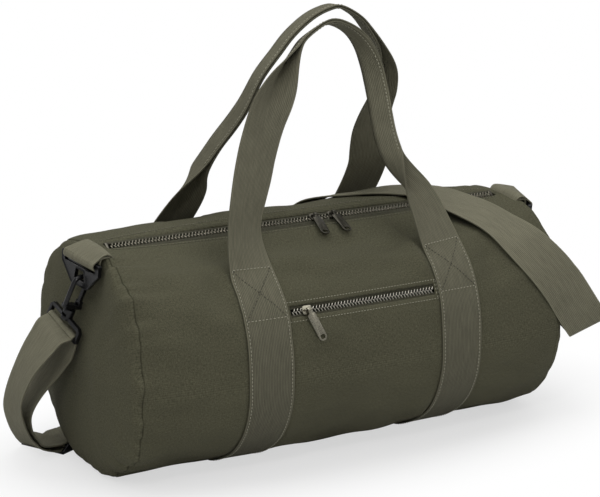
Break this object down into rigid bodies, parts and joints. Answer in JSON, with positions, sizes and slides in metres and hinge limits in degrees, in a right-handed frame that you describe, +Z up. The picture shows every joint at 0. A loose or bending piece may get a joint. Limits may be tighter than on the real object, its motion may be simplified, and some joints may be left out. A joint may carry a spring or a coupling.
{
  "type": "sports bag",
  "caption": "Barrel-shaped fabric sports bag with zipped top and front pocket, webbing carry handles and a clip-on shoulder strap.",
  "frame": {"origin": "on the floor under the middle of the bag's length and depth", "axes": "+X along the bag, -Y its front with the pocket, +Z up"},
  "size_m": [0.6444, 0.3124, 0.4644],
  "materials": {
    "fabric": "matte woven olive polyester",
    "webbing": "ribbed olive webbing",
    "zip_tape": "woven tape",
    "lining": "thin coated lining",
    "black_plastic": "semi-gloss moulded",
    "dark_metal": "antiqued dark",
    "light_metal": "pale champagne"
  },
  "bodies": {
    "bag": {"main_panel": "fabric", "end_panel_left": "fabric", "end_panel_right": "fabric", "web_loop_left": "webbing", "web_loop_right": "webbing", "tab_left": "webbing", "tab_right": "webbing", "shoulder_strap": "webbing", "zip_tape_front": "zip_tape", "zip_tape_rear": "zip_tape", "pocket_tape_lower": "zip_tape", "pocket_tape_upper": "zip_tape", "seam_binding_left": "zip_tape", "seam_binding_right": "zip_tape", "pocket_pouch": "lining", "swivel_base_left": "black_plastic", "swivel_base_right": "black_plastic", "strap_adjuster": "black_plastic", "zip_teeth_front": "dark_metal", "zip_teeth_rear": "dark_metal", "zip_stop_left": "dark_metal", "zip_stop_right": "dark_metal", "pocket_teeth_lower": "light_metal", "pocket_teeth_upper": "light_metal"},
    "front_handle": {"front_handle": "webbing"},
    "gate_left": {"gate_left": "black_plastic"},
    "gate_right": {"gate_right": "black_plastic"},
    "hook_left": {"hook_left": "black_plastic"},
    "hook_right": {"hook_right": "black_plastic"},
    "pocket_pull": {"pocket_pull": "light_metal"},
    "pocket_slider": {"pocket_slider": "light_metal"},
    "rear_handle": {"rear_handle": "webbing"},
    "ring_left": {"ring_left": "black_plastic"},
    "ring_right": {"ring_right": "black_plastic"},
    "slider_left": {"slider_left": "dark_metal"},
    "slider_left_pull": {"slider_left_pull": "dark_metal"},
    "slider_right": {"slider_right": "dark_metal"},
    "slider_right_pull": {"slider_right_pull": "dark_metal"}
  },
  "joints": [
    {"name": "slider_left_slide", "type": "slide", "parent": "bag", "child": "slider_left", "axis": [-1, 0, 0], "range_m": [0, 0.185]},
    {"name": "slider_right_slide", "type": "slide", "parent": "bag", "child": "slider_right", "axis": [1, 0, 0], "range_m": [0, 0.095]},
    {"name": "pocket_slider_slide", "type": "slide", "parent": "bag", "child": "pocket_slider", "axis": [1, 0, 0], "range_m": [0, 0.145]},
    {"name": "pull_left_hinge", "type": "hinge", "parent": "slider_left", "child": "slider_left_pull", "pos_m": [0.0065, -0.01254, 0.24271], "axis": [-1, 0, 0], "range_deg": [0, 150]},
    {"name": "pull_right_hinge", "type": "hinge", "parent": "slider_right", "child": "slider_right_pull", "pos_m": [0.029, -0.01254, 0.24271], "axis": [-1, 0, 0], "range_deg": [0, 150]},
    {"name": "pocket_pull_hinge", "type": "hinge", "parent": "pocket_slider", "child": "pocket_pull", "pos_m": [-0.068, -0.12778, 0.17774], "axis": [-1, 0, 0], "range_deg": [0, 150]},
    {"name": "front_handle_fold", "type": "hinge", "parent": "bag", "child": "front_handle", "pos_m": [0, -0.08952, 0.21723], "axis": [1, 0, 0], "range_deg": [0, 90]},
    {"name": "rear_handle_fold", "type": "hinge", "parent": "bag", "child": "rear_handle", "pos_m": [0, 0.09488, 0.22267], "axis": [-1, 0, 0], "range_deg": [0, 110]},
    {"name": "ring_left_swing", "type": "hinge", "parent": "bag", "child": "ring_left", "pos_m": [-0.2684, -0.0201, 0.23203], "axis": [0.2062, -0.9699, -0.1294], "range_deg": [-2, 2]},
    {"name": "ring_right_swing", "type": "hinge", "parent": "bag", "child": "ring_right", "pos_m": [0.2684, -0.0201, 0.23203], "axis": [-0.2062, -0.9699, -0.1294], "range_deg": [-2, 2]},
    {"name": "hook_left_swivel", "type": "hinge", "parent": "bag", "child": "hook_left", "pos_m": [-0.2693, -0.01661, 0.20586], "axis": [0.2649, -0.2998, 0.9165], "range_deg": [-15, 15]},
    {"name": "hook_right_swivel", "type": "hinge", "parent": "bag", "child": "hook_right", "pos_m": [0.26939, -0.017, 0.20587], "axis": [-0.3801, 0.1801, 0.9073], "range_deg": [-15, 15]},
    {"name": "gate_left_hinge", "type": "hinge", "parent": "hook_left", "child": "gate_left", "pos_m": [-0.2674, -0.00798, 0.18358], "axis": [0.15, -0.9261, -0.3463], "range_deg": [0, 22], "stiffness_Nm_per_rad": 0.01},
    {"name": "gate_right_hinge", "type": "hinge", "parent": "hook_right", "child": "gate_right", "pos_m": [0.27071, -0.01906, 0.18202], "axis": [0.2942, 0.9535, -0.066], "range_deg": [0, 22], "stiffness_Nm_per_rad": 0.01}
  ]
}
